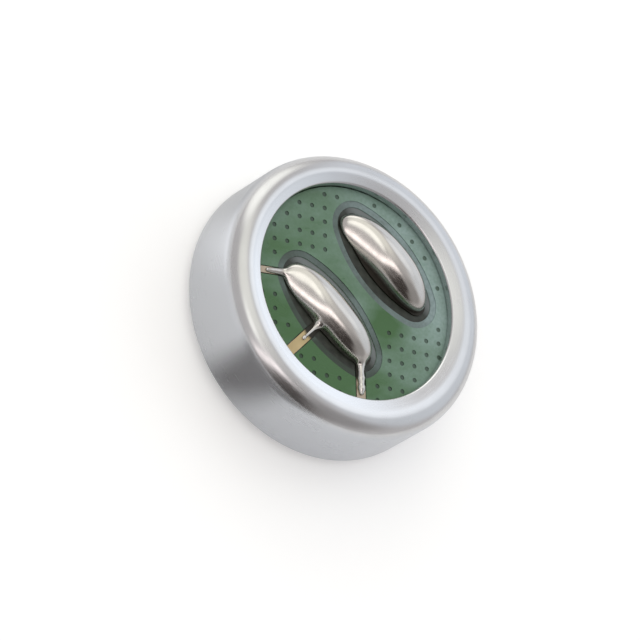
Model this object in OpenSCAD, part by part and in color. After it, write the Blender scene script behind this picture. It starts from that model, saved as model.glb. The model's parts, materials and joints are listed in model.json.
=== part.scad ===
// Electret microphone capsule, 6 mm across, lying on its front with the solder side up.
// Millimetres. The origin is under the centre of the dust felt, +Z points out of the rear,
// and +X runs from the ground pad to the output pad.

/* [Can] */
// Outside diameter of the aluminium can
can_d = 6.0; // [5.6:0.1:10]
// Thickness of the can's drawn side wall
can_wall = 0.2; // [0.12:0.01:0.26]
// Thickness of the can's front wall
front_t = 0.2; // [0.12:0.01:0.4]
// Outer radius of the edge between front and side wall
front_edge_r = 0.18; // [0.05:0.01:0.3]
// Thickness of the rim where it is rolled over the board
crimp_t = 0.2; // [0.16:0.01:0.3]
// How far the rolled rim reaches in over the board
crimp_w = 0.72; // [0.6:0.01:0.8]
// How far the top of the roll stands above the rim's cut edge
crimp_rise = 0.08; // [0.02:0.01:0.12]
// Width of the flat along the top of the roll
crest_w = 0.06; // [0.02:0.01:0.1]
// Outer radius of the rolled shoulder
shoulder_r = 0.41; // [0.3:0.01:0.5]
// Rounding of the rim's cut edge
rim_edge_r = 0.06; // [0.02:0.01:0.07]

/* [Sound inlet] */
// Number of sound holes in the can's front
inlet_count = 6; // [3:1:9]
// Diameter of a sound hole
inlet_d = 0.5; // [0.2:0.05:0.7]
// Radius of the circle that the sound holes lie on
inlet_pitch_r = 1.2; // [1:0.05:1.8]
// How far the dust felt's edge stays in from the can's wall
felt_margin = 0.5; // [0.35:0.05:0.8]
// Thickness of the dust felt
felt_t = 0.15; // [0.12:0.01:0.4]
// Rounding of the felt's edge
felt_edge_r = 0.05; // [0.01:0.01:0.06]

/* [Diaphragm and backplate] */
// Height of the metal ring that carries the diaphragm
dia_ring_t = 0.12; // [0.08:0.01:0.3]
// Width of the ring's band
dia_ring_band = 0.45; // [0.3:0.05:0.6]
// Thickness of the metallised diaphragm film
film_t = 0.01; // [0.005:0.001:0.03]
// Thickness of the spacer washer, which sets the air gap
spacer_t = 0.04; // [0.02:0.005:0.1]
// Thickness of the charged electret layer on the backplate
electret_t = 0.01; // [0.005:0.001:0.03]
// Thickness of the backplate
backplate_t = 0.15; // [0.08:0.01:0.3]
// How far the backplate's edge rests on the spacer
backplate_seat = 0.2; // [0.1:0.01:0.3]
// Number of acoustic holes in the backplate
vent_count = 8; // [4:1:12]
// Diameter of an acoustic hole
vent_d = 0.3; // [0.1:0.05:0.5]
// Radius of the circle that the acoustic holes lie on
vent_pitch_r = 1.35; // [1.05:0.05:1.6]
// Wall of the insulating holder around the backplate
holder_wall = 0.42; // [0.3:0.01:0.5]
// Chamfer that leads the backplate into the holder
holder_chamfer = 0.06; // [0.02:0.01:0.1]
// Wall of the ring that carries the gate signal
gate_ring_wall = 0.15; // [0.1:0.01:0.2]

/* [Board] */
// Thickness of the board's laminate
board_t = 0.4; // [0.25:0.01:0.8]
// Thickness of the copper lands and of the mask
copper_t = 0.03; // [0.018:0.001:0.04]
// Distance between the pads, centre to centre
pad_pitch = 1.91; // [1.86:0.01:2]
// Offset of the pad pair from the board's centre, towards the output pad
pad_shift = 0.195; // [0.1:0.005:0.2]
// Offset of the ground pad along its own length
ground_y = 0.05; // [0:0.01:0.12]
// Offset of the output pad along its own length
output_y = 0.06; // [0:0.01:0.12]
// Bare laminate left beside a bump, up to the mask
moat_side = 0.23; // [0.2:0.01:0.3]
// Bare laminate left at a bump's ends
moat_end = 0.14; // [0.1:0.01:0.2]
// Width of the shallow step in the mask around that laminate
mask_step = 0.13; // [0.05:0.01:0.15]
// Depth of that step and of the dimples in the mask
mask_relief = 0.012; // [0.005:0.001:0.015]
// Diameter of a dimple in the mask
dot_d = 0.1; // [0.06:0.01:0.14]
// Distance between dimples in a row
dot_dx = 0.43; // [0.36:0.01:0.6]
// Distance between rows, each shifted by half a step
dot_dy = 0.21; // [0.2:0.01:0.4]
// Offset of the dimples from the board's centre, from the ground towards the output pad
dot_x = -0.06; // [-0.2:0.01:0.2]
// Offset of the dimples' rows from the board's centre, along the pads
dot_y = 0.03; // [-0.1:0.01:0.1]
// Diameter of the plated holes through the board
via_d = 0.3; // [0.2:0.05:0.4]

/* [Solder] */
// Length of a solder bump
bump_len = 2.46; // [2.2:0.02:2.5]
// Half width, and so the height, of the bump on the ground pad
ground_bump_w = 0.42; // [0.36:0.01:0.44]
// Half width, and so the height, of the bump on the output pad
output_bump_w = 0.45; // [0.38:0.01:0.46]
// Radius of a bump's ends, seen from above
bump_end_r = 0.22; // [0.15:0.01:0.3]
// Margin of the land around a bump
pad_margin = 0.02; // [0.01:0.01:0.04]
// Width of the middle one of the three spokes from the ground pad to the rim
mid_spoke_w = 0.21; // [0.18:0.01:0.24]
// Width of the upper spoke
up_spoke_w = 0.14; // [0.12:0.01:0.24]
// Width of the lower spoke
low_spoke_w = 0.21; // [0.18:0.01:0.24]
// Distance of the outer spokes' starts from the middle of the ground pad
spoke_side_y = 0.985; // [0.9:0.005:1]
// Angle from the middle to the upper spoke
up_turn = 41; // [36:1:44]
// Angle from the middle to the lower spoke
low_turn = 45; // [38:1:46]
// Length that solder has run along the middle spoke
mid_tail = 0.61; // [0.4:0.01:0.8]
// Length that solder has run along the upper spoke
up_tail = 0.68; // [0.5:0.01:0.8]
// Length that solder has run along the lower spoke
low_tail = 0.76; // [0.6:0.01:0.8]
// Distance of that solder from the edges of its spoke
tail_inset = 0.02; // [0.01:0.005:0.03]
// Share of its height that it keeps where it ends
tail_taper = 0.5; // [0.3:0.05:0.8]
// Radius of the two beads on the lower spoke
bead_r = 0.1; // [0.07:0.01:0.1]
// Distance between these beads
bead_pitch = 0.23; // [0.21:0.01:0.3]

/* [Transistor and capacitors] */
// Length of the transistor's moulded body
jfet_len = 1.2; // [1.1:0.05:1.3]
// Width of the transistor's moulded body
jfet_w = 0.8; // [0.6:0.05:0.9]
// Height of the transistor's moulded body
jfet_h = 0.4; // [0.3:0.01:0.6]
// How far the body's sides draw in towards its top
jfet_draft = 0.05; // [0.01:0.01:0.1]
// Distance between the two leads on one side
lead_pitch = 0.8; // [0.6:0.05:0.85]
// Thickness of the transistor's leads
lead_t = 0.1; // [0.06:0.01:0.15]
// Width of a lead
lead_w = 0.22; // [0.15:0.01:0.24]
// How far a lead stands out of the body
lead_reach = 0.2; // [0.15:0.01:0.25]
// Free height between the transistor and the backplate
jfet_room = 0.11; // [0.05:0.01:0.3]
// Length of a chip capacitor
chip_len = 0.6; // [0.5:0.02:0.7]
// Width and height of a chip capacitor
chip_w = 0.3; // [0.24:0.01:0.32]
// Length of a capacitor's end cap
chip_cap = 0.15; // [0.1:0.01:0.18]

/* [Fits] */
// Radial gap between the can's bore and the stacked rings
stack_gap = 0.03; // [0.01:0.005:0.05]
// Radial gap between the can's bore and the board
board_gap = 0.08; // [0.05:0.01:0.12]
// Radial gap between the holder and what sits inside it
seat_gap = 0.03; // [0.01:0.005:0.05]
// Gap between the edge of the mask and a land
mask_gap = 0.02; // [0.01:0.005:0.03]
// How far the ground ring and the mask's edge lie behind the rim's edge
rim_cover = 0.05; // [0.04:0.01:0.08]
// Margin of the inner lands around leads and plated holes
land_margin = 0.05; // [0.03:0.01:0.08]
// Gap between neighbouring chips
chip_gap = 0.1; // [0.08:0.01:0.12]
// Least mask between a dimple and the next edge
dot_keep = 0.05; // [0.03:0.01:0.1]

/* [Hidden] */
$fn = 96;

// Radii
can_r = can_d / 2;
rim_r = can_r - crimp_w;
crest_in_r = can_r - shoulder_r - crest_w;
bore_r = can_r - can_wall;
stack_r = bore_r - stack_gap;
board_r = bore_r - board_gap;
holder_in_r = stack_r - holder_wall;
plate_r = holder_in_r - seat_gap;
spacer_in_r = plate_r - backplate_seat;
gate_in_r = plate_r - gate_ring_wall;
contact_in_r = rim_r + rim_cover;
mask_r = contact_in_r - mask_gap;
felt_r = can_r - felt_margin;

// Heights, stacked from the front to the rear
z_can = felt_t;
z_ring = z_can + front_t;
z_film = z_ring + dia_ring_t;
z_spacer = z_film + film_t;
z_electret = z_spacer + spacer_t;
z_plate = z_electret + electret_t;
z_chamber = z_plate + backplate_t;
z_lands = z_chamber + jfet_room + jfet_h;
z_board = z_lands + copper_t;
z_outer = z_board + board_t;
z_crimp = z_outer + copper_t;
z_top = z_crimp + crimp_t;
z_crest = z_top + crimp_rise;

// Pads, bumps and the bare laminate around them
ground_at = [pad_shift - pad_pitch / 2, ground_y];
output_at = [pad_shift + pad_pitch / 2, output_y];
bump_l = bump_len / 2;
moat_l = bump_l + moat_end;
moat_end_r = bump_end_r + moat_side;

// Spokes: each one's start on the ground pad, its direction, the solder's length on it, its width
spokes = [
  [ground_at - [ground_bump_w / 2, 0], 180, mid_tail, mid_spoke_w],
  [ground_at + [0, spoke_side_y], 180 - up_turn, up_tail, up_spoke_w],
  [ground_at - [0, spoke_side_y], 180 + low_turn, low_tail, low_spoke_w]
];
beaded_spoke = spokes[2];
bead_places = [low_tail - bead_pitch, low_tail];

// Leads of the transistor: place along its side, and the side
leads = [[0, 1], [-lead_pitch / 2, -1], [lead_pitch / 2, -1]];
lead_y = jfet_w / 2 + lead_reach;
chip_fillet = chip_w / 2;
chip_step = chip_w + chip_gap;
chip_ys = [for (i = [0:1]) -lead_y - lead_t - chip_gap - chip_w / 2 - i * chip_step];
land_end_y = chip_ys[1] - chip_w / 2 - land_margin;
land_near_x = min(chip_len / 2 - chip_cap, lead_pitch / 2 - lead_w / 2);
land_far_x = max(chip_len / 2 + chip_fillet, lead_pitch / 2 + lead_w / 2) + land_margin;

// Rows and columns of dimples
dot_rows = ceil(mask_r / dot_dy) + 1;
dot_cols = ceil(mask_r / dot_dx) + 1;

// Radius of the long sides of an oval with half length l, half width w and end radius e
function side_radius(l, w, e) = (w * w + (l - e) * (l - e) - e * e) / (2 * (w - e));
// Height at which those sides run into the round ends
function join_y(l, w, e) = side_radius(l, w, e) * (l - e) / (side_radius(l, w, e) - e);

// Oval of two flat and two tight arcs, with its long axis on Y
module oval(l, w, e) {
  side = side_radius(l, w, e);
  intersection() {
    translate([w - side, 0])
      circle(side, $fn = 360);
    translate([side - w, 0])
      circle(side, $fn = 360);
    square([2 * w, 2 * join_y(l, w, e)], center = true);
  }
  for (s = [-1, 1])
    translate([0, s * (l - e)])
      circle(e);
}

// Bump of solder: the oval turned half a turn about its long axis
module bump(w) {
  rotate([90, 0, 0])
    rotate_extrude(angle = 180)
      intersection() {
        oval(bump_l, w, bump_end_r);
        translate([0, -bump_l])
          square([w, bump_len]);
      }
}

// Flat ring
module ring(r_out, r_in, h) {
  linear_extrude(h)
    difference() {
      circle(r_out);
      circle(r_in);
    }
}

// Half section of a disc from z0 to z1, with its lower and upper edge rounded
module rounded_section(r, z0, z1, low_r, high_r) {
  translate([0, z0 + low_r])
    square([r, z1 - z0 - low_r - high_r]);
  translate([0, z0])
    square([r - low_r, low_r]);
  translate([0, z1 - high_r])
    square([r - high_r, high_r]);
  translate([r - low_r, z0 + low_r])
    circle(low_r);
  translate([r - high_r, z1 - high_r])
    circle(high_r);
}

// Half section of the room inside the can, rounded where the rim rolls in
module bore_section() {
  translate([0, z_ring])
    square([bore_r, z_crimp - z_ring - board_gap]);
  translate([0, z_ring])
    square([bore_r - board_gap, z_crimp - z_ring]);
  translate([bore_r - board_gap, z_crimp - board_gap])
    circle(board_gap);
}

// Half section of the can: closed front, side wall, rolled rim that dips to its rounded cut edge
module can_section() {
  difference() {
    rounded_section(can_r, z_can, z_crest, front_edge_r, shoulder_r);
    bore_section();
    polygon([
      [0, z_ring],
      [rim_r + rim_edge_r, z_ring],
      [rim_r + rim_edge_r, z_top],
      [crest_in_r, z_crest],
      [crest_in_r, z_crest + crimp_t],
      [0, z_crest + crimp_t]
    ]);
  }
  translate([rim_r, z_crimp + rim_edge_r])
    square([rim_edge_r, crimp_t - 2 * rim_edge_r]);
  for (z = [z_crimp + rim_edge_r, z_top - rim_edge_r])
    translate([rim_r + rim_edge_r, z])
      circle(rim_edge_r);
}

// Drawn can with its rear rim rolled over the board, and sound holes in its front
module can() {
  color("silver")
    difference() {
      rotate_extrude()
        can_section();
      for (i = [0:inlet_count - 1])
        rotate(i * 360 / inlet_count)
          translate([inlet_pitch_r, 0, z_can - front_t])
            cylinder(3 * front_t, d = inlet_d);
    }
}

// Felt glued over the sound holes
module dust_felt() {
  color("black")
    rotate_extrude()
      rounded_section(felt_r, 0, felt_t, felt_edge_r, felt_edge_r);
}

// Metal ring that the film is stretched over
module diaphragm_ring() {
  color("goldenrod")
    translate([0, 0, z_ring])
      ring(stack_r, stack_r - dia_ring_band, dia_ring_t);
}

// Metallised film
module diaphragm() {
  color("lightsteelblue")
    translate([0, 0, z_film])
      cylinder(film_t, r = stack_r);
}

// Washer that holds the film clear of the backplate
module spacer() {
  color("ivory")
    translate([0, 0, z_spacer])
      ring(stack_r, spacer_in_r, spacer_t);
}

// Disc with the backplate's outline and acoustic holes
module vented_disc(h) {
  linear_extrude(h)
    difference() {
      circle(plate_r);
      for (i = [0:vent_count - 1])
        rotate(i * 360 / vent_count)
          translate([vent_pitch_r, 0])
            circle(d = vent_d);
    }
}

// Charged layer on the face of the backplate
module electret_layer() {
  color("gainsboro")
    translate([0, 0, z_electret])
      vented_disc(electret_t);
}

// Fixed electrode
module backplate() {
  color("darkgoldenrod")
    translate([0, 0, z_plate])
      vented_disc(backplate_t);
}

// Insulating ring around the backplate and the gate ring
module holder() {
  color("whitesmoke")
    rotate_extrude()
      polygon([
        [holder_in_r, z_electret],
        [stack_r, z_electret],
        [stack_r, z_board],
        [holder_in_r + holder_chamfer, z_board],
        [holder_in_r, z_board - holder_chamfer]
      ]);
}

// Metal ring that joins the backplate to the board
module gate_ring() {
  color("goldenrod")
    translate([0, 0, z_chamber])
      ring(plate_r, gate_in_r, z_lands - z_chamber);
}

// Glass-fibre laminate, drilled for the plated holes
module board() {
  color("darkkhaki")
    translate([0, 0, z_board])
      linear_extrude(board_t)
        difference() {
          circle(board_r);
          for (p = [ground_at, output_at])
            translate(p)
              circle(d = via_d);
        }
}

// Places a child at a spoke's start, with +X along the spoke
module on_spoke(s) {
  translate(s[0])
    rotate(s[1])
      children();
}

// Flat strip along a spoke, out to the ground ring, wider than the spoke by a margin on each side
module spoke_strip(s, grow) {
  w = s[3] + 2 * grow;
  intersection() {
    on_spoke(s)
      translate([0, -w / 2])
        square([can_r, w]);
    circle(contact_in_r + mask_gap);
  }
}

// Copper under the ground bump: its pad, three spokes and the ring under the rim
module ground_land() {
  color("gold")
    translate([0, 0, z_outer])
      linear_extrude(copper_t) {
        translate(ground_at)
          oval(bump_l + pad_margin, ground_bump_w + pad_margin, bump_end_r + pad_margin);
        for (s = spokes)
          spoke_strip(s, 0);
        difference() {
          circle(board_r);
          circle(contact_in_r);
        }
      }
}

// Copper under the output bump
module output_land() {
  color("gold")
    translate([output_at[0], output_at[1], z_outer])
      linear_extrude(copper_t)
        oval(bump_l + pad_margin, output_bump_w + pad_margin, bump_end_r + pad_margin);
}

// Outlines of the bare laminate around both pads, grown by a margin
module moats(grow) {
  translate(ground_at)
    oval(moat_l + grow, ground_bump_w + moat_side + grow, moat_end_r + grow);
  translate(output_at)
    oval(moat_l + grow, output_bump_w + moat_side + grow, moat_end_r + grow);
}

// Is a point inside such an oval?
function in_oval(p, l, w, e) =
  abs(p[1]) < join_y(l, w, e)
  ? norm([abs(p[0]) + side_radius(l, w, e) - w, p[1]]) < side_radius(l, w, e)
  : norm([p[0], abs(p[1]) - l + e]) < e;

// Does a dimple at a point reach the step around a pad?
dot_clear = mask_step + dot_keep + dot_d / 2;
function near_pad(p, pad, w) =
  in_oval(p - pad, moat_l + dot_clear, w + moat_side + dot_clear, moat_end_r + dot_clear);

// Is a point on the narrow strip of mask between the two bumps?
function between_bumps(p) =
  p[0] > ground_at[0] && p[0] < output_at[0] && abs(p[1]) < bump_l - bump_end_r - dot_keep;

// Does a dimple at a point reach a spoke?
function across(p, s) = (p[1] - s[0][1]) * cos(s[1]) - (p[0] - s[0][0]) * sin(s[1]);
function onward(p, s) = (p[0] - s[0][0]) * cos(s[1]) + (p[1] - s[0][1]) * sin(s[1]);
function near_spoke(p, s) =
  onward(p, s) > 0 && abs(across(p, s)) < s[3] / 2 + mask_gap + dot_keep + dot_d / 2;

function dot_fits(p) =
  norm(p) < rim_r - dot_d / 2
  && !near_pad(p, ground_at, ground_bump_w)
  && !near_pad(p, output_at, output_bump_w)
  && !between_bumps(p)
  && len([for (s = spokes) if (near_spoke(p, s)) s]) == 0;

// Green mask on the laminate, stepped around the pads, with dimples in staggered rows
module solder_mask() {
  color("forestgreen")
    translate([0, 0, z_outer])
      difference() {
        linear_extrude(copper_t)
          difference() {
            circle(mask_r);
            moats(0);
            for (s = spokes)
              spoke_strip(s, mask_gap);
          }
        translate([0, 0, copper_t - mask_relief])
          linear_extrude(copper_t) {
            moats(mask_step);
            for (j = [-dot_rows:dot_rows], i = [-dot_cols:dot_cols])
              let (p = [dot_x + (i + (j % 2 == 0 ? 0 : 0.5)) * dot_dx, dot_y + j * dot_dy])
                if (dot_fits(p))
                  translate(p)
                    circle(d = dot_d, $fn = 24);
          }
      }
}

// Copper that meets the gate ring, with a finger to the gate lead
module gate_land() {
  finger_w = lead_w + 2 * land_margin;
  color("gold")
    translate([0, 0, z_lands])
      linear_extrude(copper_t) {
        difference() {
          circle(plate_r);
          circle(gate_in_r);
        }
        intersection() {
          translate([pad_shift - finger_w / 2, jfet_w / 2])
            square([finger_w, plate_r]);
          circle(gate_in_r + gate_ring_wall / 2);
        }
      }
}

// Straight strip of width w from point a to point b
module strip(a, b, w) {
  translate(a)
    rotate(atan2(b[1] - a[1], b[0] - a[0]))
      translate([0, -w / 2])
        square([norm(b - a), w]);
}

// Copper from a plated hole to one lead and one end of each capacitor; side is -1 or 1
module chip_land(via_at, side) {
  land_w = land_far_x - land_near_x;
  land_x = pad_shift + side * (land_near_x + land_far_x) / 2;
  translate([0, 0, z_lands])
    linear_extrude(copper_t) {
      translate(via_at)
        circle(via_d / 2 + land_margin);
      strip(via_at, [land_x, -lead_y], via_d + 2 * land_margin);
      strip([land_x, -jfet_w / 2], [land_x, land_end_y], land_w);
    }
}

// Land of the transistor's source, at ground
module source_land() {
  color("gold")
    chip_land(ground_at, -1);
}

// Land of the transistor's drain, at the output
module drain_land() {
  color("gold")
    chip_land(output_at, 1);
}

// Filled plating through the board
module via(at) {
  color("peru")
    translate([at[0], at[1], z_board])
      cylinder(board_t, d = via_d);
}

module ground_via() {
  via(ground_at);
}

module output_via() {
  via(output_at);
}

// Side view of the moulded body, l long, straight up to its leads and drawn in above them
module body_side(l) {
  polygon([
    [-l / 2, 0],
    [l / 2, 0],
    [l / 2, lead_t],
    [l / 2 - jfet_draft, jfet_h],
    [jfet_draft - l / 2, jfet_h],
    [-l / 2, lead_t]
  ]);
}

// Places a child under the inner lands, upside down, at the transistor's centre
module under_board() {
  translate([pad_shift, 0, z_lands])
    mirror([0, 0, 1])
      children();
}

// Moulded body of the field-effect transistor
module jfet_body() {
  color("dimgray")
    under_board()
      intersection() {
        translate([0, jfet_w / 2, 0])
          rotate([90, 0, 0])
            linear_extrude(jfet_w)
              body_side(jfet_len);
        translate([-jfet_len / 2, 0, 0])
          rotate([90, 0, 90])
            linear_extrude(jfet_len)
              body_side(jfet_w);
      }
}

// Its three flat leads: gate on one side, source and drain on the other
module jfet_leads() {
  color("silver")
    under_board()
      for (p = leads)
        translate([p[0] - lead_w / 2, p[1] > 0 ? jfet_w / 2 : -lead_y, 0])
          cube([lead_w, lead_reach, lead_t]);
}

// Ceramic bodies of the two capacitors between drain and source
module capacitor_bodies() {
  color("tan")
    under_board()
      for (y = chip_ys)
        translate([chip_cap - chip_len / 2, y - chip_w / 2, 0])
          cube([chip_len - 2 * chip_cap, chip_w, chip_w]);
}

// Tinned end caps of the capacitors
module capacitor_caps() {
  color("silver")
    under_board()
      for (y = chip_ys, x = [-chip_len / 2, chip_len / 2 - chip_cap])
        translate([x, y - chip_w / 2, 0])
          cube([chip_cap, chip_w, chip_w]);
}

// Fillet of solder, w wide, that climbs h up a face at x = 0
module fillet(w, h) {
  translate([0, w / 2, 0])
    rotate([90, 0, 0])
      linear_extrude(w)
        difference() {
          square(h);
          translate([h, h])
            circle(h);
        }
}

// Solder at the leads' ends and at the capacitors' ends
module reflow_solder() {
  color("lightgray")
    under_board() {
      for (p = leads)
        translate([p[0], p[1] * lead_y, 0])
          rotate(p[1] * 90)
            fillet(lead_w, lead_t);
      for (y = chip_ys, s = [0, 180])
        translate([0, y, 0])
          rotate(s)
            translate([chip_len / 2, 0, 0])
              fillet(chip_w, chip_fillet);
    }
}

// Solder that has run along a spoke: a half cone with a round end
module tail(s) {
  near_r = s[3] / 2 - tail_inset;
  far_r = tail_taper * near_r;
  on_spoke(s)
    intersection() {
      union() {
        rotate([0, 90, 0])
          cylinder(s[2], near_r, far_r);
        translate([s[2], 0, 0])
          sphere(far_r);
      }
      translate([0, -near_r, 0])
        cube([s[2] + far_r, 2 * near_r, near_r]);
    }
}

// Bead of solder on a spoke, upper half only
module bead() {
  intersection() {
    sphere(bead_r);
    translate([-bead_r, -bead_r, 0])
      cube([2 * bead_r, 2 * bead_r, bead_r]);
  }
}

// Solder on the ground pad, run out along the spokes
module ground_solder() {
  color("lightgray")
    translate([0, 0, z_crimp]) {
      translate(ground_at)
        bump(ground_bump_w);
      for (s = spokes)
        tail(s);
      for (l = bead_places)
        on_spoke(beaded_spoke)
          translate([l, 0, 0])
            bead();
    }
}

// Solder on the output pad
module output_solder() {
  color("lightgray")
    translate([output_at[0], output_at[1], z_crimp])
      bump(output_bump_w);
}

can();
dust_felt();
diaphragm_ring();
diaphragm();
spacer();
electret_layer();
backplate();
holder();
gate_ring();
board();
solder_mask();
ground_land();
output_land();
gate_land();
source_land();
drain_land();
ground_via();
output_via();
jfet_body();
jfet_leads();
capacitor_bodies();
capacitor_caps();
reflow_solder();
ground_solder();
output_solder();
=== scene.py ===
"""Electret microphone capsule: finishes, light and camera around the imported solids."""

from __future__ import annotations

import json
import logging
import math
from dataclasses import dataclass
from enum import Enum
from functools import reduce
from typing import Iterable, Sequence

import bpy
import numpy as np
from mathutils import Matrix, Vector


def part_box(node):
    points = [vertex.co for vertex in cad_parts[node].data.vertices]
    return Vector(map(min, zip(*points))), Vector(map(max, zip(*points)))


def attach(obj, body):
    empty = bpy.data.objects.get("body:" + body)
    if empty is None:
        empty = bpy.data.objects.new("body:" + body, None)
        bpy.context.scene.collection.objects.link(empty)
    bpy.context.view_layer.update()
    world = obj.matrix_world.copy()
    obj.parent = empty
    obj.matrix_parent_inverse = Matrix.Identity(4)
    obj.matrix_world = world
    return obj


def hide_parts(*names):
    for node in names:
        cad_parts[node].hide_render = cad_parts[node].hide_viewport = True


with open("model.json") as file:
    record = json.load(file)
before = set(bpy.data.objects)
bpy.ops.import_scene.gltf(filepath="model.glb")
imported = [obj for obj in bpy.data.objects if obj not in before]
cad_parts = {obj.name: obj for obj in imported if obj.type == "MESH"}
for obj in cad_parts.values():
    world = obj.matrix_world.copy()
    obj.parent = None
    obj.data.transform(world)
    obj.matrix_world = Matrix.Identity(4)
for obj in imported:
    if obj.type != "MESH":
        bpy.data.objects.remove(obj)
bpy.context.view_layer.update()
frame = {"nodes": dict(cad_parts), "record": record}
BODY = "root"
MM = 0.001
TURN = 2.0 * math.pi
WELD = 1e-5
LOG = logging.getLogger("capsule")

Point = tuple[float, float]
Colour = tuple[float, float, float]
Piece = bpy.types.Object
Material = bpy.types.Material
Socket = bpy.types.NodeSocket
Measure = float | np.ndarray


def node_box(name: str) -> tuple[Vector, Vector]:
    """Give the lowest and highest corner of a CAD node in millimetres."""
    low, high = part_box(name)
    return Vector(low) / MM, Vector(high) / MM


@dataclass(frozen=True)
class Levels:
    """Radii, heights and places that every sub-assembly shares, in millimetres."""

    can_r: float
    front_z: float
    rim_z: float
    board_z: float
    land_z: float
    mask_r: float
    felt_r: float
    ground: Vector
    output: Vector
    bump_l: float
    output_w: float

    @classmethod
    def from_frame(cls) -> Levels:
        """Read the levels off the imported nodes.

        Returns:
            The shared sizes.
        """
        can_low, can_high = node_box("can")
        mask_low, mask_high = node_box("solder_mask")
        output_low, output_high = node_box("output_solder")
        ground_low, ground_high = node_box("ground_via")
        felt_high = node_box("dust_felt")[1]
        return cls(
            can_r=can_high.x,
            front_z=can_low.z,
            rim_z=can_high.z,
            board_z=mask_low.z,
            land_z=mask_high.z,
            mask_r=mask_high.x,
            felt_r=felt_high.x,
            ground=(ground_low + ground_high) / 2,
            output=(output_low + output_high) / 2,
            bump_l=(output_high.y - output_low.y) / 2,
            output_w=(output_high.x - output_low.x) / 2,
        )


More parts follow.
